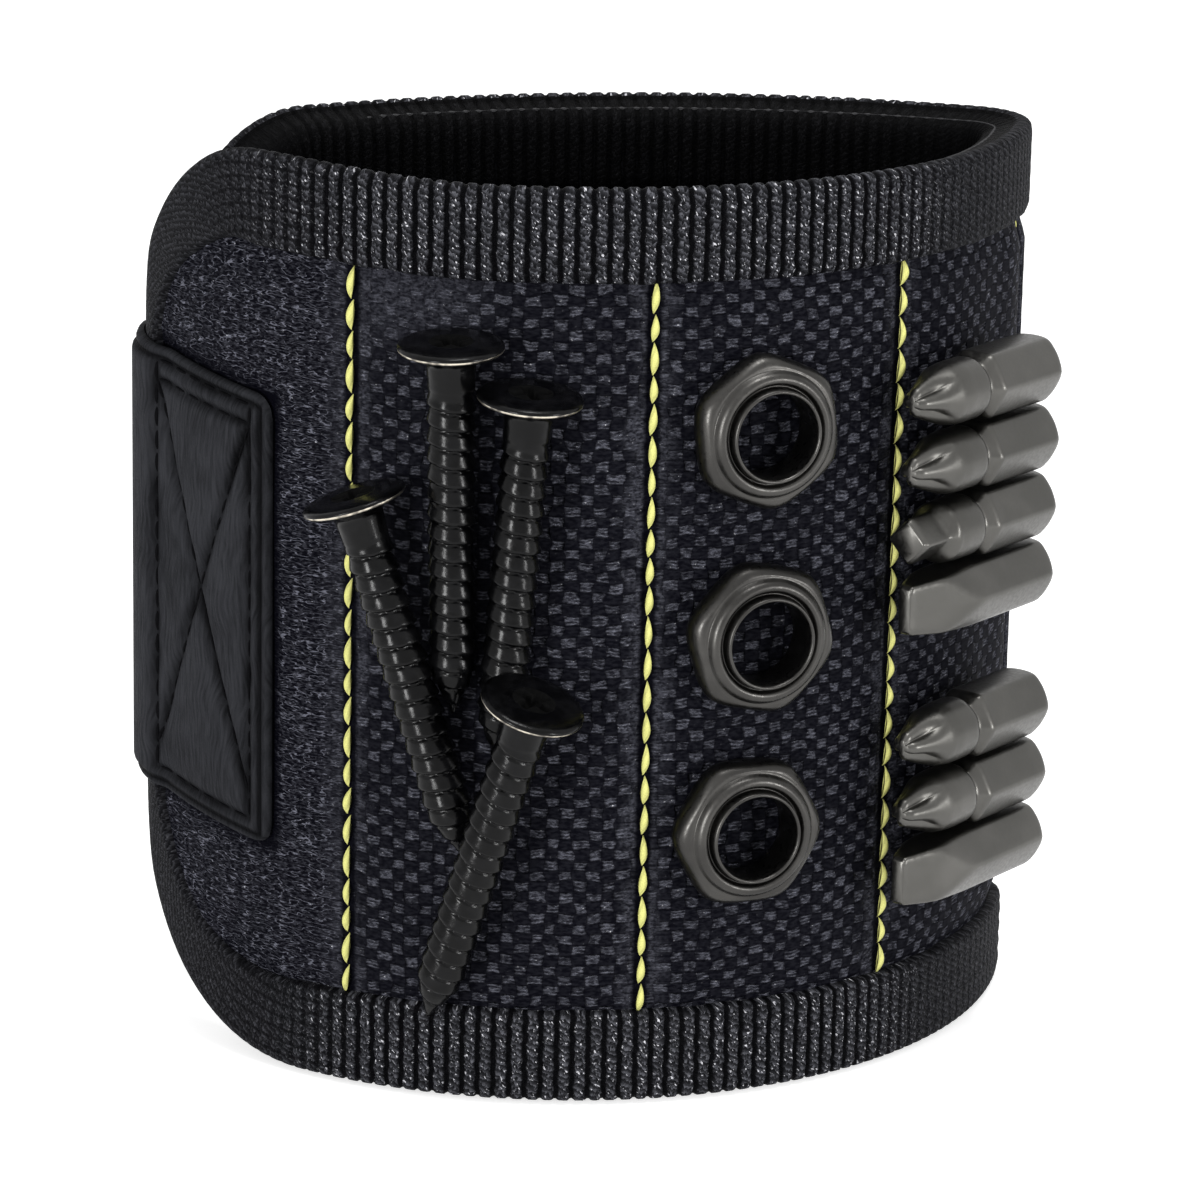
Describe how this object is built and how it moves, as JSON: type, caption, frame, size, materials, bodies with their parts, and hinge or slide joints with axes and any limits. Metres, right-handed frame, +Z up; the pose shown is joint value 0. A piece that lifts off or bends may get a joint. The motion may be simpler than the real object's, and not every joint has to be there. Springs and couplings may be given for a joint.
{
  "type": "magnetic wristband",
  "caption": "Padded wristband closed by a hook-and-loop strap, with stitched magnet pockets that hold screws, nuts and driver bits on its outside.",
  "frame": {"origin": "middle of the footprint, on the surface that the band stands on", "axes": "+Z up along the band's width, -Y out of the front with the held hardware, +X along the front"},
  "size_m": [0.0874, 0.0634, 0.088],
  "materials": {
    "nylon_cloth": "coarse woven nylon, near black with a blue cast",
    "binding_tape": "ribbed grosgrain tape",
    "mesh_lining": "matte mesh",
    "foam": "soft closed foam",
    "leather": "smooth artificial leather",
    "webbing": "woven strap",
    "hook_and_loop": "short pile",
    "yellow_thread": "thick waxed thread",
    "dark_thread": "waxed thread",
    "magnet": "plated",
    "black_steel": "glossy black oxide",
    "gun_metal": "satin",
    "bit_steel": "satin"
  },
  "bodies": {
    "band": {"outer_fabric_main": "nylon_cloth", "mesh_lining_main": "mesh_lining", "foam_core_main": "foam", "binding_top": "binding_tape", "binding_bottom": "binding_tape", "loop_field": "hook_and_loop", "stitch_line_1": "yellow_thread", "stitch_line_2": "yellow_thread", "stitch_line_3": "yellow_thread", "stitch_line_4": "yellow_thread", "stitch_line_5": "yellow_thread", "magnet_2_1": "magnet", "magnet_2_2": "magnet", "magnet_2_3": "magnet", "magnet_3_1": "magnet", "magnet_3_2": "magnet", "magnet_3_3": "magnet", "magnet_4_1": "magnet", "magnet_4_2": "magnet", "magnet_4_3": "magnet"},
    "near_end": {"outer_fabric_near_end": "nylon_cloth", "mesh_lining_near_end": "mesh_lining", "foam_core_near_end": "foam", "binding_near_end": "binding_tape", "leather_patch": "leather", "patch_box_stitch": "dark_thread", "strap_root": "webbing", "magnet_1_1": "magnet", "magnet_1_2": "magnet", "magnet_1_3": "magnet"},
    "strap_near": {"strap_near": "webbing"},
    "strap_middle": {"strap_middle": "webbing", "hook_pad_middle": "hook_and_loop"},
    "strap_tail": {"strap_tail": "webbing", "hook_pad_tail": "hook_and_loop", "grip_tab": "leather"},
    "screw_1": {"screw_1": "black_steel"},
    "screw_2": {"screw_2": "black_steel"},
    "screw_3": {"screw_3": "black_steel"},
    "screw_4": {"screw_4": "black_steel"},
    "nut_upper": {"nut_upper": "gun_metal"},
    "nut_middle": {"nut_middle": "gun_metal"},
    "nut_lower": {"nut_lower": "gun_metal"},
    "bit_1": {"bit_1": "bit_steel"},
    "bit_2": {"bit_2": "bit_steel"},
    "bit_3": {"bit_3": "bit_steel"},
    "bit_4": {"bit_4": "bit_steel"},
    "bit_5": {"bit_5": "bit_steel"},
    "bit_6": {"bit_6": "bit_steel"},
    "bit_7": {"bit_7": "bit_steel"}
  },
  "joints": [
    {"name": "near_end_hinge", "type": "hinge", "parent": "band", "child": "near_end", "pos_m": [-0.02778, -0.01047, 0.044], "axis": [0, 0, 1], "range_deg": [0, 50]},
    {"name": "strap_root_hinge", "type": "hinge", "parent": "near_end", "child": "strap_near", "pos_m": [-0.04, 0.01885, 0.044], "axis": [0, 0, 1], "range_deg": [0, 40]},
    {"name": "strap_middle_hinge", "type": "hinge", "parent": "strap_near", "child": "strap_middle", "pos_m": [-0.02008, 0.02915, 0.044], "axis": [0, 0, 1], "range_deg": [0, 40]},
    {"name": "strap_tail_hinge", "type": "hinge", "parent": "strap_middle", "child": "strap_tail", "pos_m": [0.00236, 0.03164, 0.044], "axis": [0, 0, 1], "range_deg": [0, 40]},
    {"name": "screw_1_pull", "type": "slide", "parent": "band", "child": "screw_1", "axis": [-0.3863, -0.9224, 0], "range_m": [0, 0.012]},
    {"name": "screw_3_pull", "type": "slide", "parent": "screw_1", "child": "screw_3", "axis": [-0.3863, -0.9224, 0], "range_m": [0, 0.012]},
    {"name": "screw_2_pull", "type": "slide", "parent": "band", "child": "screw_2", "axis": [-0.2719, -0.9623, 0], "range_m": [0, 0.012]},
    {"name": "screw_4_pull", "type": "slide", "parent": "screw_2", "child": "screw_4", "axis": [-0.2719, -0.9623, 0], "range_m": [0, 0.012]},
    {"name": "nut_upper_pull", "type": "slide", "parent": "band", "child": "nut_upper", "axis": [0.2245, -0.9745, 0], "range_m": [0, 0.015]},
    {"name": "nut_middle_pull", "type": "slide", "parent": "band", "child": "nut_middle", "axis": [0.2234, -0.9747, 0], "range_m": [0, 0.015]},
    {"name": "nut_lower_pull", "type": "slide", "parent": "band", "child": "nut_lower", "axis": [0.2059, -0.9786, 0], "range_m": [0, 0.015]},
    {"name": "bit_1_pull", "type": "slide", "parent": "band", "child": "bit_1", "axis": [0.6681, -0.7441, 0], "range_m": [0, 0.015]},
    {"name": "bit_2_pull", "type": "slide", "parent": "band", "child": "bit_2", "axis": [0.6681, -0.7441, 0], "range_m": [0, 0.015]},
    {"name": "bit_3_pull", "type": "slide", "parent": "band", "child": "bit_3", "axis": [0.6681, -0.7441, 0], "range_m": [0, 0.015]},
    {"name": "bit_4_pull", "type": "slide", "parent": "band", "child": "bit_4", "axis": [0.6681, -0.7441, 0], "range_m": [0, 0.015]},
    {"name": "bit_5_pull", "type": "slide", "parent": "band", "child": "bit_5", "axis": [0.6729, -0.7397, 0], "range_m": [0, 0.015]},
    {"name": "bit_6_pull", "type": "slide", "parent": "band", "child": "bit_6", "axis": [0.6729, -0.7397, 0], "range_m": [0, 0.015]},
    {"name": "bit_7_pull", "type": "slide", "parent": "band", "child": "bit_7", "axis": [0.6729, -0.7397, 0], "range_m": [0, 0.015]}
  ],
  "couplings": [
    {"joint": "strap_middle_hinge", "follows": "strap_root_hinge", "ratio": 1},
    {"joint": "strap_tail_hinge", "follows": "strap_root_hinge", "ratio": 1}
  ]
}
